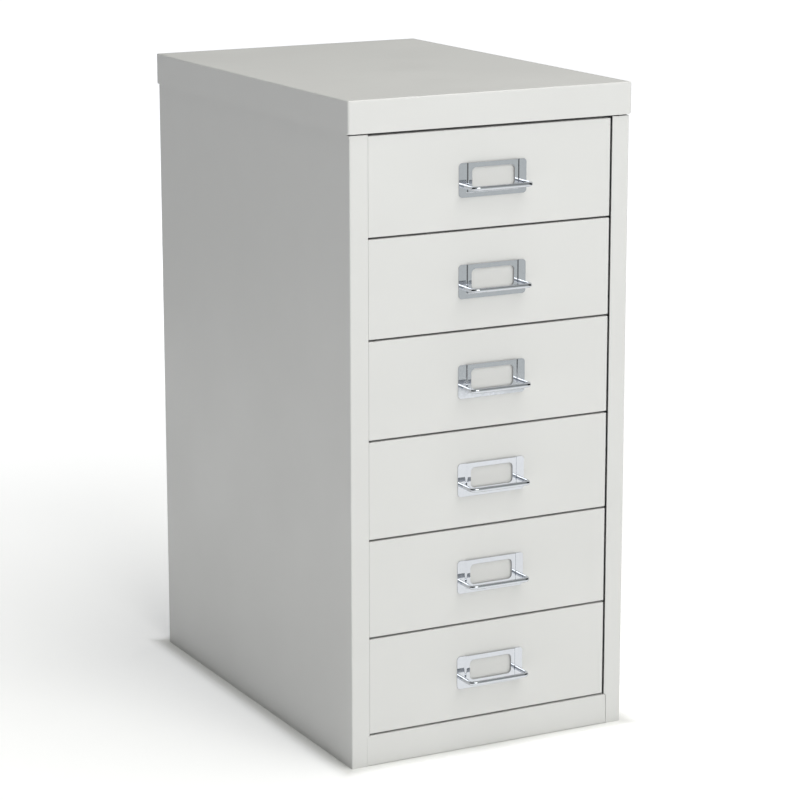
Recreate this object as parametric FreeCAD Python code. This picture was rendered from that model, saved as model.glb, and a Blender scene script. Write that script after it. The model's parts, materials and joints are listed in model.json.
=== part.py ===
import FreeCAD, Part
import math
import os

# A small painted steel cabinet with a stack of shallow drawers for paper, in millimetres.
# +X is the cabinet's right, -Y its front and +Z up. The origin is the middle of its flat base.

# Overall sizes
lid_width = 279.0
lid_depth = 408.0
drawer_count = 6
drawer_pitch = 88.5
plinth_line = 29.0  # height of the line between the plinth and the lowest drawer
head_height = 30.0  # from the line over the top drawer to the top of the lid

# Sheet metal
lid_sheet = 1.0
body_sheet = 0.9
front_sheet = 0.8
tray_sheet = 0.7
body_bend = 1.2  # outer radius of the carcass folds
lid_corner = 2.0  # outer radius of the lid's upright folds
front_bend = 0.6  # outer radius of the drawer fronts' folds
overrun = 5.0  # how far a cutting block runs past what it cuts
same_place = 0.01  # two places closer than this are one

# Carcass
lid_side_clearance = 0.65
lid_front_clearance = 0.1
lid_trim_width = 2.6  # of the slanting cut on each lower corner of the lid's flanges
lid_trim_height = 1.6
lid_line_gap = 1.4  # from the line over the top drawer to the lid's lower edge
stile_width = 17.25
stile_head_gap = 1.2  # from the lid's lower edge to the top of the stile's face
stile_head_depth = 4.5  # how far back along the side that gap runs
carcass_flange = 12.0
rail_rise = 0.3  # how far the top rail's lower edge is above the lid's
rail_return = 14.0
plinth_reach = 2.2  # how far the plinth reaches into each stile's notch
plinth_clearance = 0.3
plinth_shift = 0.2  # how far the plinth sits to the left in its notches
plinth_lift = 1.0
plinth_return = 12.0
plinth_corner = 1.8  # radius of its upper corners as seen from the front
base_flange = 20.0

# Gaps round the drawer fronts
drawer_gap = 1.85
drawer_gap_left = 0.2
drawer_gap_right = 2.05

# Drawers
front_depth = 14.0
front_flange = 10.0
tray_side_space = 10.1  # from the opening's edge to the tray's side
tray_headroom = 24.0  # how much lower than the pitch the tray's sides are
lip_inset = 2.0  # from the opening's edge to the edge of the tray's lip
stop_tab_play = 0.5  # between a stop tab's top and the runner over it

# Runners and the pillars that hold them
runner_height = 6.5  # inside the channel
runner_lip_clearance = 0.25
runner_edge_clearance = 0.6
runner_tray_clearance = 1.7
runner_front_clearance = 2.0
runner_rear_clearance = 16.9
runner_grip = 73.0  # length of lip that is still in its runner when the drawer is out
runner_stop_rise = 1.7  # from the channel's floor to the front stop's lower edge
stop_gap = 0.3
pillar_width = 24.0

# Label plate on each drawer
plate_width = 66.5
plate_height = 30.0
plate_sheet = 0.8
plate_corner = 3.2
plate_drop = 0.9  # how far the plate's centre is under the middle of the drawer
plate_edge = 0.25
wing_width = 7.1  # the flat part on each side of the raised pocket
pocket_rise = 1.2
pocket_ramp = 1.5
pocket_foot = 4.0
window_corner = 4.2
window_side = 5.0  # from the pocket's edge to the window
window_foot = 7.5  # from the plate's lower edge to the window
window_head = 4.0

# Wire pull
wire_diameter = 4.0
arm_inset = 4.3  # from the plate's edge to the middle of each arm
pull_reach = 21.6  # from the drawer's face to the front of the wire
pull_bend = 3.5  # inner radius
pull_foot = 10.1  # from the plate's lower edge to the middle of the wire
wire_tail = 4.5
wire_hole_clearance = 0.15
retainer_diameter = 8.0
retainer_sheet = 0.8
retainer_clearance = 0.05

# Places across a label plate and its pull
plate_half = plate_width / 2
pocket_half = plate_half - wing_width
window_half = pocket_half - window_side
arm_place = plate_half - arm_inset

# Heights of the carcass
top_line = plinth_line + drawer_count * drawer_pitch
cabinet_height = top_line + head_height
lid_under = cabinet_height - lid_sheet
lid_edge = top_line + lid_line_gap
plinth_top = plinth_line - drawer_gap / 2

# Places across the carcass
body_half = lid_width / 2 - lid_sheet - lid_side_clearance
body_inner = body_half - body_sheet
opening_half = body_half - stile_width
notch_half = opening_half + plinth_reach
front_left = drawer_gap_left - opening_half
front_right = opening_half - drawer_gap_right
flange_edge = body_inner - carcass_flange
tray_half = opening_half - tray_side_space
lip_half = opening_half - lip_inset
runner_web = lip_half + runner_edge_clearance
runner_back = runner_web + body_sheet
runner_edge = tray_half + runner_tray_clearance

# Places along the carcass
front_face = -(lid_depth / 2 - lid_sheet - lid_front_clearance)
rear_face = -front_face
stile_inner = front_face + body_sheet
rear_flange_inner = rear_face - body_sheet
back_inner = rear_flange_inner - body_sheet
tray_front = front_face + front_depth
tray_wall = tray_front + tray_sheet
runner_front = tray_wall + runner_front_clearance
runner_rear = back_inner - runner_rear_clearance
front_stop = runner_front + body_sheet
rear_stop = runner_rear - body_sheet
tray_rear = rear_stop - stop_gap
stop_tab = tray_rear - runner_grip
drawer_travel = stop_tab - front_stop - stop_gap


def vec(x, y, z):
    return FreeCAD.Vector(x, y, z)


def block(corner, other):
    """A box between two opposite corners, given in any order."""
    low = [min(pair) for pair in zip(corner, other)]
    high = [max(pair) for pair in zip(corner, other)]
    size = [b - a for a, b in zip(low, high)]
    return Part.makeBox(size[0], size[1], size[2], vec(*low))


def rounded_face(points, radii):
    """A flat face whose outline turns at each point with that point's radius."""
    starts = []
    middles = []
    ends = []
    count = len(points)
    for index, corner in enumerate(points):
        back = (points[index - 1] - corner).normalize()
        ahead = (points[(index + 1) % count] - corner).normalize()
        half_turn = back.getAngle(ahead) / 2
        inward = (back + ahead).normalize()
        radius = radii[index]
        tangent = radius / math.tan(half_turn)
        starts.append(corner + back * tangent)
        ends.append(corner + ahead * tangent)
        middles.append(corner + inward * (radius / math.sin(half_turn) - radius))
    edges = []
    for index in range(count):
        if radii[index] > 0:
            edges.append(Part.Arc(starts[index], middles[index], ends[index]).toShape())
        following = starts[(index + 1) % count]
        edges.append(Part.LineSegment(ends[index], following).toShape())
    return Part.Face(Part.Wire(edges))


def upright_sheet(points, radii, low, high):
    """A folded sheet whose section lies flat, from one height to another."""
    section = rounded_face([vec(x, y, low) for x, y in points], radii)
    return section.extrude(vec(0, 0, high - low))


def crosswise_sheet(points, radii, half):
    """A folded sheet whose section is seen from the side, as wide on the left as on the right."""
    section = rounded_face([vec(-half, y, z) for y, z in points], radii)
    return section.extrude(vec(2 * half, 0, 0))


def frontal_solid(points, radii, start, end):
    """A solid whose outline is seen from the front, from one depth to another."""
    section = rounded_face([vec(x, start, z) for x, z in points], radii)
    return section.extrude(vec(0, end - start, 0))


def lies_at(edge, axis, value):
    """Whether both ends of an edge have one value of x, y or z."""
    places = [getattr(vertex.Point, axis) for vertex in edge.Vertexes]
    return all(abs(place - value) < same_place for place in places)


def is_upright(edge):
    """Whether an edge runs straight up and down."""
    start, end = [vertex.Point for vertex in edge.Vertexes]
    return math.hypot(end.x - start.x, end.y - start.y) < same_place


def rectangle(half, y, low, top):
    """The corners of an upright rectangle that faces the front."""
    return [vec(-half, y, low), vec(half, y, low), vec(half, y, top), vec(-half, y, top)]


def corner_trim(side, end):
    """The wedge that a slanting cut takes off one lower corner of the lid's flanges."""
    reach = lid_trim_width / 2
    low = -overrun
    high = lid_trim_height * (1 + overrun / reach)
    depth = reach * (1 + overrun / lid_trim_height)
    across = vec(side * overrun, -end * overrun, 0)
    corners = []
    for inset, rise in ((low, low), (depth, low), (low, high)):
        corner = vec(side * (lid_width / 2 - inset), end * (lid_depth / 2 - inset), lid_edge + rise)
        corners.append(corner - across)
    return rounded_face(corners, [0] * len(corners)).extrude(across * 2)


def lid():
    """A tray upside down: its top and four flanges are one sheet."""
    half = lid_width / 2
    outer = block((-half, -lid_depth / 2, lid_edge), (half, lid_depth / 2, cabinet_height))
    outer = outer.makeFillet(lid_corner, [edge for edge in outer.Edges if is_upright(edge)])
    outer = outer.makeFillet(body_bend, [edge for edge in outer.Edges if lies_at(edge, "z", cabinet_height)])
    inner_half = half - lid_sheet
    inner_depth = lid_depth / 2 - lid_sheet
    hollow_low = lid_edge - overrun
    hollow = block((-inner_half, -inner_depth, hollow_low), (inner_half, inner_depth, lid_under))
    hollow = hollow.makeFillet(lid_corner - lid_sheet, [edge for edge in hollow.Edges if is_upright(edge)])
    trims = [corner_trim(side, end) for side in (-1, 1) for end in (-1, 1)]
    return outer.cut([hollow] + trims)


def side_panel(side):
    """One side, its front folded in to a stile beside the drawers and its rear to a flange."""
    section = [
        (side * body_half, rear_face),
        (side * body_half, front_face),
        (side * opening_half, front_face),
        (side * opening_half, stile_inner),
        (side * body_inner, stile_inner),
        (side * body_inner, rear_flange_inner),
        (side * flange_edge, rear_flange_inner),
        (side * flange_edge, rear_face),
    ]
    radii = [body_bend, body_bend, 0, 0, 0, 0, 0, 0]
    panel = upright_sheet(section, radii, 0, lid_under)
    top_flange = block(
        (side * flange_edge, stile_inner, lid_under - body_sheet), (side * body_inner, back_inner, lid_under)
    )
    notch_top = plinth_top + plinth_clearance
    outline = [
        (side * (opening_half - overrun), -overrun),
        (side * notch_half, -overrun),
        (side * notch_half, notch_top),
        (side * (opening_half - overrun), notch_top),
    ]
    notch_radii = [0, 0, plinth_corner + plinth_clearance, 0]
    notch = frontal_solid(outline, notch_radii, front_face - overrun, stile_inner + overrun)
    head = block(
        (side * (opening_half - overrun), front_face - overrun, lid_edge - stile_head_gap),
        (side * (body_half + overrun), front_face + stile_head_depth, lid_under + overrun),
    )
    return panel.fuse(top_flange).cut([notch, head]).removeSplitter()


def back_panel():
    """A flat sheet inside the sides' rear flanges."""
    return block((-body_inner, back_inner, 0), (body_inner, rear_flange_inner, lid_under))


def base_panel():
    """A shallow open pan that closes the bottom and ties the four walls together."""
    outer = block((-body_inner, stile_inner, 0), (body_inner, back_inner, base_flange))
    hollow_half = body_inner - body_sheet
    hollow = block(
        (-hollow_half, stile_inner + body_sheet, body_sheet),
        (hollow_half, back_inner - body_sheet, base_flange + overrun),
    )
    return outer.cut(hollow)


def plinth():
    """The strip under the lowest drawer, folded back along its top."""
    section = [
        (front_face, plinth_lift),
        (front_face, plinth_top),
        (front_face + plinth_return, plinth_top),
        (front_face + plinth_return, plinth_top - body_sheet),
        (stile_inner, plinth_top - body_sheet),
        (stile_inner, plinth_lift),
    ]
    half = notch_half - plinth_clearance
    strip = crosswise_sheet(section, [0, body_bend, 0, 0, 0, 0], half)
    outline = [(-half, plinth_lift), (half, plinth_lift), (half, plinth_top), (-half, plinth_top)]
    outline_radii = [0, 0, plinth_corner, plinth_corner]
    start = front_face - overrun
    strip = strip.common(frontal_solid(outline, outline_radii, start, front_face + plinth_return + overrun))
    strip.translate(vec(-plinth_shift, 0, 0))
    return strip


def top_front_rail():
    """A channel behind the lid's front that ties the sides' top flanges together over the top drawer."""
    low = lid_edge + rail_rise
    rear = front_face + rail_return
    section = [
        (front_face, low),
        (front_face, lid_under),
        (rear, lid_under),
        (rear, lid_under - body_sheet),
        (stile_inner, lid_under - body_sheet),
        (stile_inner, low + body_sheet),
        (rear, low + body_sheet),
        (rear, low),
    ]
    return crosswise_sheet(section, [0] * len(section), flange_edge)


def pillar(side, start):
    """An upright channel on the side panel, which the runners are fixed to."""
    end = start + pillar_width
    section = [
        (side * body_inner, start),
        (side * runner_back, start),
        (side * runner_back, end),
        (side * body_inner, end),
        (side * body_inner, end - body_sheet),
        (side * (runner_back + body_sheet), end - body_sheet),
        (side * (runner_back + body_sheet), start + body_sheet),
        (side * body_inner, start + body_sheet),
    ]
    return upright_sheet(section, [0] * len(section), base_flange, lid_under - body_sheet)


def lip_height(base_line):
    """Height of the underside of a tray's lips."""
    return base_line + drawer_gap / 2 + front_sheet + drawer_pitch - tray_headroom - tray_sheet


def runner(side, base_line):
    """A channel that a tray's lip slides in, with a stop at each end."""
    floor = lip_height(base_line) - runner_lip_clearance
    ceiling = floor + runner_height
    outer = block(
        (side * runner_edge, runner_front, floor - body_sheet),
        (side * runner_back, runner_rear, ceiling + body_sheet),
    )
    open_side = side * (runner_edge - overrun)
    hollow = block((open_side, front_stop, floor), (side * runner_web, rear_stop, ceiling))
    mouth = block(
        (open_side, runner_front - overrun, floor), (side * runner_web, front_stop, floor + runner_stop_rise)
    )
    return outer.cut([hollow, mouth])


def drawer_tray(base_line):
    """The open box behind a drawer's front, with a lip along each side that rides in a runner."""
    floor = base_line + drawer_gap / 2 + front_sheet
    lip_low = lip_height(base_line)
    lip_top = lip_low + tray_sheet
    wall_top = base_line + drawer_pitch - drawer_gap / 2 - front_sheet - front_flange / 2
    box = block((-tray_half, tray_front, floor), (tray_half, tray_rear, lip_top))
    inner_half = tray_half - tray_sheet
    inner_rear = tray_rear - tray_sheet
    hollow = block((-inner_half, tray_wall, floor + tray_sheet), (inner_half, inner_rear, lip_top + overrun))
    box = box.cut(hollow)
    seat = front_sheet + front_flange / 2
    front_wall = block((front_left + seat, tray_front, floor), (front_right - seat, tray_wall, wall_top))
    tab_top = lip_low - runner_lip_clearance + runner_height - stop_tab_play
    extras = [front_wall]
    tab_rear = stop_tab + tray_sheet
    for side in (-1, 1):
        lip_edge = side * lip_half
        tab_edge = side * (runner_edge + runner_edge_clearance)
        extras.append(block((side * tray_half, tray_wall, lip_low), (lip_edge, tray_rear, lip_top)))
        extras.append(block((tab_edge, stop_tab, lip_low), (lip_edge, tab_rear, tab_top)))
    return box.fuse(extras).removeSplitter()


def pull_height(base_line):
    """Height of the middle of a wire pull."""
    return plate_low(base_line) + pull_foot


def plate_low(base_line):
    """Height of a label plate's lower edge."""
    return base_line + drawer_pitch / 2 - plate_drop - plate_height / 2


def arm_holes(base_line, start, end):
    """Drills for the two arms of a pull, from one depth to another."""
    radius = wire_diameter / 2 + wire_hole_clearance
    height = pull_height(base_line)
    drills = []
    for side in (-1, 1):
        centre = vec(side * arm_place, start, height)
        drills.append(Part.makeCylinder(radius, end - start, centre, vec(0, 1, 0)))
    return drills


def drawer_front(base_line):
    """A hollow pan folded in all round, whose rear flanges the tray is fixed to."""
    low = base_line + drawer_gap / 2
    high = base_line + drawer_pitch - drawer_gap / 2
    outer = block((front_left, front_face, low), (front_right, tray_front, high))
    folds = [edge for edge in outer.Edges if not lies_at(edge, "y", tray_front)]
    outer = outer.makeFillet(front_bend, folds)
    wall = front_sheet
    hollow = block(
        (front_left + wall, front_face + wall, low + wall),
        (front_right - wall, tray_front - wall, high - wall),
    )
    rim = wall + front_flange
    rear_opening = block(
        (front_left + rim, front_face + wall, low + rim),
        (front_right - rim, tray_front + overrun, high - rim),
    )
    drills = arm_holes(base_line, front_face - overrun, front_face + wall + overrun)
    return outer.cut([hollow, rear_opening] + drills)


def ramped_block(half, low, top, start, depth, ramp):
    """A block on a drawer's face that narrows towards the front by a ramp on its sides and foot."""
    rings = []
    for inset, y in ((0, start), (ramp, start - depth)):
        corners = rectangle(half - inset, y, low + inset, top)
        rings.append(Part.makePolygon(corners + corners[:1]))
    return Part.makeLoft(rings, True, True)


def label_plate(base_line):
    """A pressed plate with a raised pocket, open at the top, and a window for the label."""
    low = plate_low(base_line)
    top = low + plate_height
    face = front_face - plate_sheet
    corners = rectangle(plate_half, front_face, low, top)
    sheet = rounded_face(corners, [plate_corner] * len(corners)).extrude(vec(0, -plate_sheet, 0))
    rim = [edge for edge in sheet.Edges if lies_at(edge, "y", face)]
    sheet = sheet.makeFillet(plate_edge, rim)
    slope = math.atan2(pocket_rise, pocket_ramp)
    inset = plate_sheet * math.tan(slope / 2)
    foot = low + pocket_foot
    raised = ramped_block(pocket_half, foot, top, face, pocket_rise, pocket_ramp)
    inner_half = pocket_half - inset
    pocket = ramped_block(inner_half, foot + inset, top + overrun, front_face, pocket_rise, pocket_ramp)
    corners = rectangle(window_half, front_face + overrun, low + window_foot, top - window_head)
    depth = overrun + plate_sheet + pocket_rise + overrun
    window = rounded_face(corners, [window_corner] * len(corners)).extrude(vec(0, -depth, 0))
    holes = arm_holes(base_line, front_face - overrun, front_face + overrun)
    return sheet.fuse(raised).cut([pocket, window] + holes).removeSplitter()


def wire_pull(base_line):
    """One bent wire: two arms through the plate and the drawer's front, and a bar between them."""
    height = pull_height(base_line)
    radius = wire_diameter / 2
    bend = pull_bend + radius
    tail = front_face + front_sheet + wire_tail
    bar = front_face - pull_reach + radius
    shoulder = bar + bend
    bend_middle = bend * (1 - math.sqrt(1 / 2))
    points = [
        vec(-arm_place, tail, height),
        vec(-arm_place, shoulder, height),
        vec(-arm_place + bend_middle, bar + bend_middle, height),
        vec(-arm_place + bend, bar, height),
        vec(arm_place - bend, bar, height),
        vec(arm_place - bend_middle, bar + bend_middle, height),
        vec(arm_place, shoulder, height),
        vec(arm_place, tail, height),
    ]
    path = Part.Wire(
        [
            Part.LineSegment(points[0], points[1]).toShape(),
            Part.Arc(points[1], points[2], points[3]).toShape(),
            Part.LineSegment(points[3], points[4]).toShape(),
            Part.Arc(points[4], points[5], points[6]).toShape(),
            Part.LineSegment(points[6], points[7]).toShape(),
        ]
    )
    section = Part.Wire([Part.makeCircle(radius, points[0], vec(0, -1, 0))])
    return path.makePipeShell([section], True, False)


def pull_retainers(base_line):
    """The two push-on washers that hold a pull's arms behind the drawer's front."""
    start = front_face + front_sheet
    height = pull_height(base_line)
    bore = wire_diameter / 2 + retainer_clearance
    washers = []
    for side in (-1, 1):
        centre = vec(side * arm_place, start, height)
        disc = Part.makeCylinder(retainer_diameter / 2, retainer_sheet, centre, vec(0, 1, 0))
        washers.append(disc.cut(Part.makeCylinder(bore, retainer_sheet, centre, vec(0, 1, 0))))
    return Part.makeCompound(washers)


def save(name, shape):
    """Write one piece and print what it holds."""
    shape.exportStep("parts/" + name + ".step")
    print(name, "solids", len(shape.Solids), "volume", round(shape.Volume, 1), "valid", shape.isValid())


os.makedirs("parts", exist_ok=True)
save("lid", lid())
save("back_panel", back_panel())
save("base_panel", base_panel())
save("plinth", plinth())
save("top_front_rail", top_front_rail())
for side_name, side in (("left", -1), ("right", 1)):
    save(side_name + "_side_panel", side_panel(side))
    save("front_" + side_name + "_pillar", pillar(side, runner_front))
    save("rear_" + side_name + "_pillar", pillar(side, runner_rear - pillar_width))
for number in range(1, drawer_count + 1):
    base_line = top_line - number * drawer_pitch
    for side_name, side in (("left", -1), ("right", 1)):
        save(side_name + "_runner_" + str(number), runner(side, base_line))
    save("drawer_tray_" + str(number), drawer_tray(base_line))
    save("drawer_front_" + str(number), drawer_front(base_line))
    save("label_plate_" + str(number), label_plate(base_line))
    save("wire_pull_" + str(number), wire_pull(base_line))
    save("pull_retainers_" + str(number), pull_retainers(base_line))
print("cabinet height", cabinet_height)
print("drawer travel", drawer_travel)
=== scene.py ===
import json
import math
import bpy
import numpy as np
from mathutils import Matrix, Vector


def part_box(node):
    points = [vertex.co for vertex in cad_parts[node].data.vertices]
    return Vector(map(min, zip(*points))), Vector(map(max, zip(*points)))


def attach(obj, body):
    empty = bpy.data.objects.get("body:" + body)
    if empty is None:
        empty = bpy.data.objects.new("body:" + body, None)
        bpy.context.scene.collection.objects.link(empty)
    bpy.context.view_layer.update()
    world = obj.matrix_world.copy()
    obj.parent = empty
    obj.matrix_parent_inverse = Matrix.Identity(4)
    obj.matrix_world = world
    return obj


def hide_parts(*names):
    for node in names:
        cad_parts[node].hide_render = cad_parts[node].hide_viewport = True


# A small painted steel cabinet with six drawers, dressed for a studio picture. Metres throughout.

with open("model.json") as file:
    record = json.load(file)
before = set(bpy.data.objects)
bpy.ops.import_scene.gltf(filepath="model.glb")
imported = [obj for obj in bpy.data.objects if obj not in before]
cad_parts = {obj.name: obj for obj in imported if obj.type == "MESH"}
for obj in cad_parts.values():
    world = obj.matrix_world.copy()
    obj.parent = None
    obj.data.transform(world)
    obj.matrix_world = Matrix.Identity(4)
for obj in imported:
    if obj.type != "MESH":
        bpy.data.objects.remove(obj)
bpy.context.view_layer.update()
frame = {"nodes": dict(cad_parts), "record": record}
nodes = frame["nodes"]
drawerNumbers = sorted(int(name.split("_")[-1]) for name in nodes if name.startswith("drawer_front_"))
mm = 0.001
print("frame loaded:", len(nodes), "nodes,", len(drawerNumbers), "drawers")


def linearColour(hexText):
    # each sRGB channel goes to linear by the standard curve
    channels = np.array([int(hexText[i:i + 2], 16) for i in (1, 3, 5)]) / 255
    linear = np.where(channels <= 0.04045, channels / 12.92, ((channels + 0.055) / 1.055) ** 2.4)
    return (*linear.tolist(), 1.0)


def addNode(tree, kind, inputs=None, **settings):
    # a value that is a socket is linked, any other is set on the input
    node = tree.nodes.new(kind)
    for name, value in settings.items():
        setattr(node, name, value)
    for key, value in (inputs or {}).items():
        if isinstance(value, bpy.types.NodeSocket):
            tree.links.new(value, node.inputs[key])
        else:
            node.inputs[key].default_value = value
    return node


def newMaterial(name):
    # a node material with nothing in it yet
    material = bpy.data.materials.new(name)
    material.use_nodes = True
    material.node_tree.nodes.clear()
    return material, material.node_tree


def perMetre(millimetres):
    # a pattern's scale for one feature of that size
    return 1000 / millimetres


noiseSpan = (0.3, 0.7)  # most of a noise's values lie between these


# The camera stands about where the photograph's did. Its upright lines draw together a little more than there,
# because a greater shift would push other views out of the picture.
cameraSettings = {
    "place": (-1.205701, -2.321658, 0.894741),
    "azimuth": -26.535345,  # degrees, negative to the left of straight in front
    "elevation": 12.501578,
    "roll": -0.311769,
    "lens": 128.543,  # millimetres, on a sensor as wide as the next line says
    "sensor": 36,
    "shift": (0.075, -0.05),
    "clip": (0.05, 60),  # metres
}


def towards(azimuth, elevation):
    # unit vector from the cabinet to a place round it, azimuth 0 being straight in front
    azimuth, elevation = math.radians(azimuth), math.radians(elevation)
    flat = math.cos(elevation)
    return np.array([math.sin(azimuth) * flat, -math.cos(azimuth) * flat, math.sin(elevation)])


def makeCamera(settings):
    # right and up are turned about the line of sight by the roll
    back = towards(settings["azimuth"], settings["elevation"])
    roll = math.radians(settings["roll"])
    right = np.cross((0, 0, 1), back)
    right /= np.linalg.norm(right)
    up = np.cross(back, right)
    turned = [math.cos(roll) * right + math.sin(roll) * up, math.cos(roll) * up - math.sin(roll) * right, back]
    data = bpy.data.cameras.new("studioCamera")
    data.lens = settings["lens"]
    data.sensor_width = settings["sensor"]
    data.shift_x, data.shift_y = settings["shift"]
    data.clip_start, data.clip_end = settings["clip"]
    camera = bpy.data.objects.new("studioCamera", data)
    camera.matrix_world = Matrix.Translation(settings["place"]) @ Matrix(np.array(turned).T.tolist()).to_4x4()
    bpy.context.collection.objects.link(camera)
    bpy.context.scene.camera = camera


makeCamera(cameraSettings)
print("camera placed")


# A pale paper floor, an even room and two soft lamps.
studioSettings = {
    "floorInner": 1.58,  # metres; metal mirrors the floor only this far, as paper on a table ends
    "floorOuter": 24.0,
    "floorNear": 0.325,  # glow that keeps the pale floor even, at its centre and far from it
    "floorFar": 0.88,
    "glowSpan": (0.5, 2.6),  # metres from the centre where the glow starts to rise and where it is full
    "glowCentre": (-0.05, 0.25, 0.0),  # added to the floor's places, so the centre is at minus this
    "footprint": (0.139, 0.203, 10.0),  # half the cabinet's width and depth; under it the paper doesn't glow, which paints a shadow under the cabinet
    "footprintEdge": 0.02,
    "roomDim": 0.02,  # the room's light away from its lobes
    "roomColour": "#FBFFFC",
    "backdrop": 0.97,  # what the camera sees behind the floor
}
roomLobes = {
    # where the room is brighter: the direction, the cosine of the angle from it where the brightness starts and
    # where it is full, and how much it adds
    "lowFront": {"side": (0.05, -0.97, -0.22), "span": (0.4, 0.9), "amount": 0.69},
    "ceiling": {"side": (0.0, -0.25, 0.97), "span": (0.6, 0.86), "amount": 0.36},
}


def discMesh(name, inner, outer, count=96):
    # rings of points at the angle's cosine and sine, times the ring's radius
    angles = np.linspace(0, 2 * np.pi, count, endpoint=False)
    rings = [np.stack([r * np.cos(angles), r * np.sin(angles), 0 * angles], 1) for r in (inner, outer) if r > 0]
    index = np.arange(count)
    after = (index + 1) % count
    faces = [index.tolist()]
    if inner > 0:
        faces = np.stack([index, index + count, after + count, after], 1).tolist()
    mesh = bpy.data.meshes.new(name)
    mesh.from_pydata(np.concatenate(rings).tolist(), [], faces)
    return mesh


paperSettings = {
    "colour": "#EFEFEE",
    "glow": "#FAFBFF",
    "roughness": 0.95,
    "fibre": 3.0,  # millimetres across one soft fibre mark, drawn coarser than real paper's
    "fibreDepth": 0.02,
    "fibreStrength": 0.3,
}


def seamlessPaper(settings, sheet):
    # matt white background paper: no gloss, an even pale tone out to the edge of the view; the glow rises with
    # the distance from its centre, and is none inside the footprint, a painted shadow under the cabinet
    material, tree = newMaterial("seamlessPaper")
    place = addNode(tree, "ShaderNodeTexCoord").outputs["Object"]
    moved = addNode(tree, "ShaderNodeVectorMath", {0: place, 1: settings["glowCentre"]}, operation="ADD")
    distance = addNode(tree, "ShaderNodeVectorMath", {0: moved.outputs["Vector"]}, operation="LENGTH")
    glow = addNode(tree, "ShaderNodeMapRange", {
        "Value": distance.outputs["Value"], "From Min": settings["glowSpan"][0], "From Max": settings["glowSpan"][1],
        "To Min": settings["floorNear"], "To Max": settings["floorFar"]
    }, interpolation_type="SMOOTHSTEP").outputs["Result"]
    mirrored = addNode(tree, "ShaderNodeVectorMath", {0: place}, operation="ABSOLUTE").outputs["Vector"]
    beyond = addNode(tree, "ShaderNodeVectorMath", {0: mirrored, 1: settings["footprint"]}, operation="SUBTRACT")
    sides = addNode(tree, "ShaderNodeSeparateXYZ", {0: beyond.outputs["Vector"]})
    outside = addNode(tree, "ShaderNodeMath", {0: sides.outputs["X"], 1: sides.outputs["Y"]}, operation="MAXIMUM")
    # no glow inside the footprint: a painted shadow under the cabinet and a dark line under its plinth
    outsidePaintedShadow = addNode(tree, "ShaderNodeMapRange", {
        "Value": outside.outputs["Value"], "From Min": 0.0, "From Max": settings["footprintEdge"]
    }, interpolation_type="SMOOTHSTEP").outputs["Result"]
    glow = addNode(tree, "ShaderNodeMath", {0: glow, 1: outsidePaintedShadow}, operation="MULTIPLY").outputs["Value"]
    fibre = addNode(tree, "ShaderNodeTexNoise", {"Vector": place, "Scale": perMetre(sheet["fibre"]), "Detail": 3.0})
    bump = addNode(tree, "ShaderNodeBump", {
        "Height": fibre.outputs["Fac"], "Distance": sheet["fibreDepth"] * mm, "Strength": sheet["fibreStrength"]
    })
    paper = addNode(tree, "ShaderNodeBsdfPrincipled", {
        "Base Color": linearColour(sheet["colour"]), "Roughness": sheet["roughness"], "Specular IOR Level": 0.0,
        "Emission Color": linearColour(sheet["glow"]), "Emission Strength": glow, "Normal": bump.outputs["Normal"]
    })
    addNode(tree, "ShaderNodeOutputMaterial", {"Surface": paper.outputs["BSDF"]})
    return material


def makeFloor(settings):
    # a disc that metal mirrors, and a ring round it that only the camera sees
    material = seamlessPaper(settings, paperSettings)
    edge, end = settings["floorInner"], settings["floorOuter"]
    spans = {"floorNearby": (0, edge), "floorBeyond": (edge, end)}
    for name, (inner, outer) in spans.items():
        mesh = discMesh(name, inner, outer)
        mesh.materials.append(material)
        floor = bpy.data.objects.new(name, mesh)
        bpy.context.collection.objects.link(floor)
        floor.visible_glossy = inner == 0


def makeRoom(settings, lobes):
    # the room's own light: dim all round, with a broad soft lobe in front and another overhead
    world = bpy.data.worlds.new("studioRoom")
    world.use_nodes = True
    tree = world.node_tree
    tree.nodes.clear()
    direction = addNode(tree, "ShaderNodeTexCoord").outputs["Generated"]
    light = settings["roomDim"]
    for lobe in lobes.values():
        facing = addNode(tree, "ShaderNodeVectorMath", {0: direction, 1: lobe["side"]}, operation="DOT_PRODUCT")
        extra = addNode(tree, "ShaderNodeMapRange", {
            "Value": facing.outputs["Value"], "From Min": lobe["span"][0], "From Max": lobe["span"][1],
            "To Min": 0.0, "To Max": lobe["amount"]
        }, interpolation_type="SMOOTHSTEP").outputs["Result"]
        light = addNode(tree, "ShaderNodeMath", {0: light, 1: extra}, operation="ADD").outputs["Value"]
    cameraRay = addNode(tree, "ShaderNodeLightPath").outputs["Is Camera Ray"]
    # inputs 2 and 3 are the Mix node's two plain numbers
    tone = addNode(tree, "ShaderNodeMix", {0: cameraRay, 2: light, 3: settings["backdrop"]}).outputs[0]
    room = addNode(tree, "ShaderNodeBackground", {"Color": linearColour(settings["roomColour"]), "Strength": tone})
    addNode(tree, "ShaderNodeOutputWorld", {"Surface": room.outputs["Background"]})
    bpy.context.scene.world = world


lampSettings = {
    # degrees round and above the cabinet, metres, watts, and whether metal mirrors the lamp
    "keySoftbox": {
        "azimuth": 2, "elevation": 40, "distance": 3.2, "width": 2.1, "height": 1.8, "power": 37.5, "mirrored": True
    },
    "topFill": {
        "azimuth": 60, "elevation": 79, "distance": 2.6, "width": 2.0, "height": 2.0, "power": 46.5, "mirrored": False
    },
}
lampTarget = np.array([0.0, -0.15, 0.32])
lampColour = linearColour("#FFFEFA")[:3]  # a little warmer than the room


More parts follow.
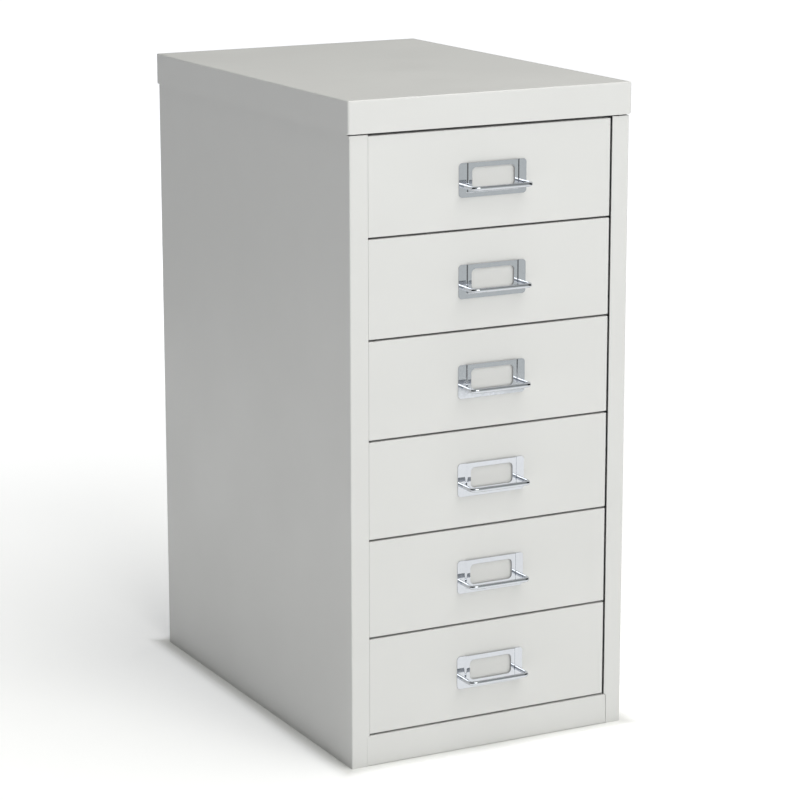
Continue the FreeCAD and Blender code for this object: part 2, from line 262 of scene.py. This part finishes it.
def makeLamp(name, settings):
    # a soft rectangle of light that faces the target from its place round the cabinet
    back = towards(settings["azimuth"], settings["elevation"])
    across = np.cross((0, 0, 1), back)
    across /= np.linalg.norm(across)
    turned = Matrix(np.array([across, np.cross(back, across), back]).T.tolist()).to_4x4()
    data = bpy.data.lights.new(name, "AREA")
    data.shape = "RECTANGLE"
    data.size, data.size_y = settings["width"], settings["height"]
    data.energy = settings["power"]
    data.color = lampColour
    lamp = bpy.data.objects.new(name, data)
    lamp.matrix_world = Matrix.Translation(lampTarget + back * settings["distance"]) @ turned
    bpy.context.collection.objects.link(lamp)
    lamp.visible_camera = False
    lamp.visible_glossy = settings["mirrored"]


makeFloor(studioSettings)
makeRoom(studioSettings, roomLobes)
for lampName, lampValues in lampSettings.items():
    makeLamp(lampName, lampValues)
bpy.context.scene.view_settings.view_transform = "Standard"
bpy.context.scene.view_settings.look = "None"
print("studio lit with", len(lampSettings), "lamps")


paintSettings = {
    "light": "#D6D6D5",
    "deep": "#D1D1D0",
    "drift": 90.0,  # millimetres across one patch of the slightly deeper tone
    "roughness": (0.38, 0.46),
    "ior": 1.5,
    "peel": 1.8,  # millimetres across one dimple of the orange peel
    "peelDepth": 0.012,
    "wave": 70.0,  # the sheet's own slight unevenness
    "waveDepth": 0.04,
}


def stovedPaint(settings):
    # stoved satin paint on steel sheet: an even warm light grey, a soft sheen and a very fine orange peel
    material, tree = newMaterial("stovedSatinPaint")
    place = addNode(tree, "ShaderNodeTexCoord").outputs["Object"]
    drift = addNode(tree, "ShaderNodeTexNoise", {
        "Vector": place, "Scale": perMetre(settings["drift"]), "Detail": 2.0
    })
    # inputs 6 and 7 are the Mix node's two colours, and output 2 is its colour
    colour = addNode(tree, "ShaderNodeMix", {
        0: drift.outputs["Fac"], 6: linearColour(settings["light"]), 7: linearColour(settings["deep"])
    }, data_type="RGBA").outputs[2]
    peel = addNode(tree, "ShaderNodeTexNoise", {"Vector": place, "Scale": perMetre(settings["peel"]), "Detail": 1.0})
    wave = addNode(tree, "ShaderNodeTexNoise", {"Vector": place, "Scale": perMetre(settings["wave"]), "Detail": 0.0})
    sheen = addNode(tree, "ShaderNodeMapRange", {
        "Value": drift.outputs["Fac"], "From Min": noiseSpan[0], "From Max": noiseSpan[1],
        "To Min": settings["roughness"][0], "To Max": settings["roughness"][1]
    }).outputs["Result"]
    waves = addNode(tree, "ShaderNodeBump", {
        "Height": wave.outputs["Fac"], "Distance": settings["waveDepth"] * mm, "Strength": 1.0
    }).outputs["Normal"]
    normal = addNode(tree, "ShaderNodeBump", {
        "Height": peel.outputs["Fac"], "Distance": settings["peelDepth"] * mm, "Strength": 1.0, "Normal": waves
    }).outputs["Normal"]
    paint = addNode(tree, "ShaderNodeBsdfPrincipled", {
        "Base Color": colour, "Roughness": sheen, "IOR": settings["ior"], "Normal": normal
    })
    addNode(tree, "ShaderNodeOutputMaterial", {"Surface": paint.outputs["BSDF"]})
    return material


chromeSettings = {
    "light": "#CDD0D6",
    "deep": "#C6C9CF",
    "roughness": (0.04, 0.09),
    "ripple": 9.0,  # millimetres across one ripple of the pressed sheet under the plating
    "rippleDepth": 0.006,
    "haze": 2.5,  # millimetres across one faintly duller spot
}


def brightChrome(settings):
    # chrome over nickel on pressed steel: mirror bright and cool, its reflections bent a little by the steel below
    material, tree = newMaterial("brightChromePlating")
    place = addNode(tree, "ShaderNodeTexCoord").outputs["Object"]
    ripple = addNode(tree, "ShaderNodeTexNoise", {
        "Vector": place, "Scale": perMetre(settings["ripple"]), "Detail": 1.0
    })
    haze = addNode(tree, "ShaderNodeTexNoise", {"Vector": place, "Scale": perMetre(settings["haze"]), "Detail": 3.0})
    colour = addNode(tree, "ShaderNodeMix", {
        0: haze.outputs["Fac"], 6: linearColour(settings["light"]), 7: linearColour(settings["deep"])
    }, data_type="RGBA").outputs[2]
    blur = addNode(tree, "ShaderNodeMapRange", {
        "Value": haze.outputs["Fac"], "From Min": noiseSpan[0], "From Max": noiseSpan[1],
        "To Min": settings["roughness"][0], "To Max": settings["roughness"][1]
    }).outputs["Result"]
    normal = addNode(tree, "ShaderNodeBump", {
        "Height": ripple.outputs["Fac"], "Distance": settings["rippleDepth"] * mm, "Strength": 1.0
    }).outputs["Normal"]
    chrome = addNode(tree, "ShaderNodeBsdfPrincipled", {
        "Base Color": colour, "Metallic": 1.0, "Roughness": blur, "Normal": normal
    })
    addNode(tree, "ShaderNodeOutputMaterial", {"Surface": chrome.outputs["BSDF"]})
    return material


zincSettings = {
    "light": "#C9CBCC",
    "deep": "#ABAEB1",
    "roughness": (0.30, 0.44),
    "spangle": 7.0,  # millimetres across one crystal of the zinc
    "rolling": (1.2, 60.0),  # across and along a mark left by the rolls
    "rollingDepth": 0.004,
}


def dullZinc(settings):
    # zinc plated steel strip: dull silver grey in faint crystals, with fine rolling marks along it
    material, tree = newMaterial("dullZincPlating")
    place = addNode(tree, "ShaderNodeTexCoord").outputs["Object"]
    spangle = addNode(tree, "ShaderNodeTexVoronoi", {"Vector": place, "Scale": perMetre(settings["spangle"])})
    crystal = addNode(tree, "ShaderNodeSeparateXYZ", {0: spangle.outputs["Color"]}).outputs["X"]
    colour = addNode(tree, "ShaderNodeMix", {
        0: crystal, 6: linearColour(settings["light"]), 7: linearColour(settings["deep"])
    }, data_type="RGBA").outputs[2]
    blur = addNode(tree, "ShaderNodeMapRange", {
        "Value": crystal, "To Min": settings["roughness"][0], "To Max": settings["roughness"][1]
    }).outputs["Result"]
    across, along = [perMetre(size) for size in settings["rolling"]]
    drawn = addNode(tree, "ShaderNodeMapping", {"Vector": place, "Scale": (across, along, across)})
    marks = addNode(tree, "ShaderNodeTexNoise", {"Vector": drawn.outputs["Vector"], "Scale": 1.0, "Detail": 2.0})
    normal = addNode(tree, "ShaderNodeBump", {
        "Height": marks.outputs["Fac"], "Distance": settings["rollingDepth"] * mm, "Strength": 1.0
    }).outputs["Normal"]
    zinc = addNode(tree, "ShaderNodeBsdfPrincipled", {
        "Base Color": colour, "Metallic": 1.0, "Roughness": blur, "Normal": normal
    })
    addNode(tree, "ShaderNodeOutputMaterial", {"Surface": zinc.outputs["BSDF"]})
    return material


finishes = {
    "painted_steel": stovedPaint(paintSettings),
    "chrome_plate": brightChrome(chromeSettings),
    "plated_steel": dullZinc(zincSettings),
}
for row in frame["record"]["subparts"]:
    node = nodes[row["node"]]
    if not node.material_slots:
        node.data.materials.append(None)
    for slot in node.material_slots:
        slot.material = finishes[row["material_slot"]]


def finishPiece(name, points, faces, number, nodeName):
    # a smooth chromed piece that rides on its drawer and stands for one of its nodes
    mesh = bpy.data.meshes.new(name)
    mesh.from_pydata(points.tolist(), [], faces)
    mesh.shade_smooth()
    mesh.materials.append(finishes["chrome_plate"])
    piece = bpy.data.objects.new(name, mesh)
    bpy.context.collection.objects.link(piece)
    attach(piece, f"drawer_{number}")
    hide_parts(nodeName)
    return piece


pullSettings = {
    "wire": 4.0,  # millimetres
    "innerBend": 3.5,
    "endChamfer": 0.4,
    "flattened": 0.04,  # share by which the wire is squeezed in its bends
    "around": 36,  # points round the wire
    "bendSteps": 16,
    "sharpAngle": 38,  # degrees; edges that turn more than this stay sharp
}


def pullSurface(low, high, settings):
    # A circle carried along a path. The path's heading is 0 on the first arm, grows evenly by a right angle in
    # each bend, and its points are the running sum of chords, each the step times sinc of half its turn.
    radius = settings["wire"] / 2 * mm
    bend = settings["innerBend"] * mm + radius
    chamfer = settings["endChamfer"] * mm
    count = settings["bendSteps"]
    halfWidth = (high[0] - low[0]) / 2 - radius
    arm = (high[1] - low[1]) - radius - bend
    bendRun = np.full(count, bend * np.pi / 2 / count)
    bendTurn = np.full(count, np.pi / 2 / count)
    armRuns, bar = [chamfer, arm - chamfer], [2 * (halfWidth - bend)]
    steps = np.concatenate([armRuns, bendRun, bar, bendRun, armRuns[::-1]])
    turns = np.concatenate([[0, 0], bendTurn, [0], bendTurn, [0, 0]])
    heading = np.concatenate([[0], np.cumsum(turns)])
    middle = (heading[1:] + heading[:-1]) / 2
    chords = steps * np.sinc(turns / 2 / np.pi)
    moves = np.stack([chords * np.sin(middle), -chords * np.cos(middle), 0 * middle], 1)
    start = np.array([[(low[0] + high[0]) / 2 - halfWidth, high[1], (low[2] + high[2]) / 2]])
    path = np.concatenate([start, start + np.cumsum(moves, axis=0)])
    radii = np.full(len(path), radius)
    radii[[0, -1]] -= chamfer
    inBend = np.concatenate([[0], np.minimum(1, turns[1:] + turns[:-1]), [0]]) > 0
    squeeze = np.where(inBend, 1 - settings["flattened"], 1.0)
    around = np.linspace(0, 2 * np.pi, settings["around"], endpoint=False)
    outward = np.stack([np.cos(heading), np.sin(heading), 0 * heading], 1)
    rise = np.array([0, 0, 1.0])
    circle = outward[:, None] * (np.cos(around) * squeeze[:, None])[..., None] + rise * np.sin(around)[None, :, None]
    points = path[:, None] + circle * radii[:, None, None]
    rings, sides = points.shape[:2]
    index = np.arange(rings * sides).reshape(rings, sides)
    after = np.roll(index, -1, axis=1)
    walls = np.stack([index[:-1], index[1:], after[1:], after[:-1]], 2).reshape(-1, 4).tolist()
    return points.reshape(-1, 3), walls + [index[0].tolist(), index[-1][::-1].tolist()]


for number in drawerNumbers:
    nodeName = f"wire_pull_{number}"
    points, faces = pullSurface(*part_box(nodeName), pullSettings)
    pull = finishPiece(f"bentWirePull_{number}", points, faces, number, nodeName)
    pull.data.set_sharp_from_angle(angle=math.radians(pullSettings["sharpAngle"]))
print("wire pulls bent:", len(drawerNumbers))


plateSettings = {
    # millimetres
    "sheet": 0.8,
    "corner": 3.2,
    "wing": 7.1,  # flat part each side of the raised pocket
    "foot": 4.0,  # from the plate's lower edge to the pocket's
    "ramp": 1.9,  # width of the pocket's sloping side
    "footRamp": 0.55,
    "rise": 1.2,
    "windowSide": 12.1,  # from the plate's side to the window
    "windowFoot": 7.5,
    "windowHead": 4.0,
    "windowCorner": 4.2,
    "windowSpread": 0.55,  # how far round a window corner its rounding draws points along, in corner radii
    "rimRadius": 0.6,
    "rimSegments": 2,
    "rimAngle": 55,  # degrees; edges that turn more than this are rounded
}
plateGrid = {
    # millimetres between points
    "corner": 0.4,
    "wing": 1.5,
    "ramp": 0.16,
    "rampMargin": (0.3, 0.2),  # the dense part reaches this far past the ramp, inside and outside it
    "footRamp": 0.08,
    "footMargin": 0.1,
    "besideWindow": 0.6,
    "underWindow": 0.5,
    "overWindow": 0.7,
    "windowCorner": 0.45,
    "windowWidth": 3.0,
    "windowHeight": 2.0,
}


def gridLine(*runs):
    # evenly spaced places from each run's start to its end, no further apart than its third number
    parts = [np.linspace(a, b, max(1, math.ceil((b - a) / gap)), endpoint=False) for a, b, gap in runs]
    return np.append(np.concatenate(parts), runs[-1][1])


def roundCorner(x, z, centre, side, radius, spread):
    # Points beyond the corner's centre are drawn in from a square to a circle, by their larger offset over
    # their distance. With a spread, only those outside the square move, and less the further out they are.
    a = np.maximum((x - centre[0]) * side[0] / radius, 0)
    b = np.maximum((z - centre[1]) * side[1] / radius, 0)
    larger = np.maximum(a, b)
    pull = larger / np.maximum(np.hypot(a, b), 1e-9)
    if spread > 0:
        weight = np.clip(1 - (larger - 1) / spread, 0, 1)
        pull = 1 + (pull - 1) * weight
    moved = (a > 0) & (b > 0)
    x = np.where(moved, centre[0] + side[0] * radius * a * pull, x)
    z = np.where(moved, centre[1] + side[1] * radius * b * pull, z)
    return x, z


def plateSurface(low, high, settings, grid):
    # A grid over the plate, dense along the pocket's edge and at the corners, with the window's cells left out.
    # Its height is the pocket's rise times a smooth step of the share of the sloping side that lies behind it.
    s, gap = settings, grid
    half, tall = (high[0] - low[0]) / 2 / mm, (high[2] - low[2]) / mm
    pocket, window = half - s["wing"], half - s["windowSide"]
    foot, crest = s["foot"], s["foot"] + s["footRamp"]
    sill, head = s["windowFoot"], tall - s["windowHead"]
    rampStart, rampEnd = pocket - s["ramp"] - gap["rampMargin"][0], pocket + gap["rampMargin"][1]
    footStart, footEnd = foot - gap["footMargin"], crest + gap["footMargin"]
    across = gridLine(
        (0, window - s["windowCorner"], gap["windowWidth"]),
        (window - s["windowCorner"], window, gap["windowCorner"]),
        (window, rampStart, gap["besideWindow"]),
        (rampStart, rampEnd, gap["ramp"]),
        (rampEnd, half - s["corner"], gap["wing"]),
        (half - s["corner"], half, gap["corner"]),
    )
    x = np.concatenate([-across[:0:-1], across])
    z = gridLine(
        (0, s["corner"], gap["corner"]),
        (s["corner"], footStart, gap["corner"]),
        (footStart, footEnd, gap["footRamp"]),
        (footEnd, sill, gap["underWindow"]),
        (sill, sill + s["windowCorner"], gap["windowCorner"]),
        (sill + s["windowCorner"], head - s["windowCorner"], gap["windowHeight"]),
        (head - s["windowCorner"], head, gap["windowCorner"]),
        (head, tall - s["corner"], gap["overWindow"]),
        (tall - s["corner"], tall, gap["corner"]),
    )
    middleX, middleZ = np.meshgrid((x[1:] + x[:-1]) / 2, (z[1:] + z[:-1]) / 2)
    kept = ~((np.abs(middleX) < window) & (middleZ > sill) & (middleZ < head))
    x, z = np.meshgrid(x, z)
    index = np.arange(x.size).reshape(x.shape)
    for side in (-1, 1):
        for end, edge, rim in ((-1, 0, sill), (1, tall, head)):
            outer = (side * (half - s["corner"]), edge - end * s["corner"])
            inner = (side * (window - s["windowCorner"]), rim - end * s["windowCorner"])
            x, z = roundCorner(x, z, outer, (side, end), s["corner"], 0)
            x, z = roundCorner(x, z, inner, (side, end), s["windowCorner"], s["windowSpread"])
    inX = np.clip((pocket - np.abs(x)) / s["ramp"], 0, 1)
    inZ = np.clip((z - foot) / s["footRamp"], 0, 1)
    share = 1 - np.minimum(1, np.hypot(1 - inX, 1 - inZ))
    y = high[1] / mm - s["sheet"] - s["rise"] * share ** 2 * (3 - 2 * share)
    centre = (low[0] + high[0]) / 2
    points = np.stack([centre + x * mm, y * mm, low[2] + z * mm], 2).reshape(-1, 3)
    faces = np.stack([index[:-1, :-1], index[:-1, 1:], index[1:, 1:], index[1:, :-1]], 2)[kept]
    used, faces = np.unique(faces, return_inverse=True)
    return points[used], faces.reshape(-1, 4).tolist()


for number in drawerNumbers:
    nodeName = f"label_plate_{number}"
    points, faces = plateSurface(*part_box(nodeName), plateSettings, plateGrid)
    plate = finishPiece(f"pressedLabelPlate_{number}", points, faces, number, nodeName)
    wall = plate.modifiers.new("sheetThickness", "SOLIDIFY")
    wall.thickness = plateSettings["sheet"] * mm
    wall.offset = -1
    rim = plate.modifiers.new("rimRounding", "BEVEL")
    rim.width = plateSettings["rimRadius"] * mm
    rim.segments = plateSettings["rimSegments"]
    rim.limit_method = "ANGLE"
    rim.angle_limit = math.radians(plateSettings["rimAngle"])
    rim.harden_normals = True
print("label plates pressed:", len(drawerNumbers))
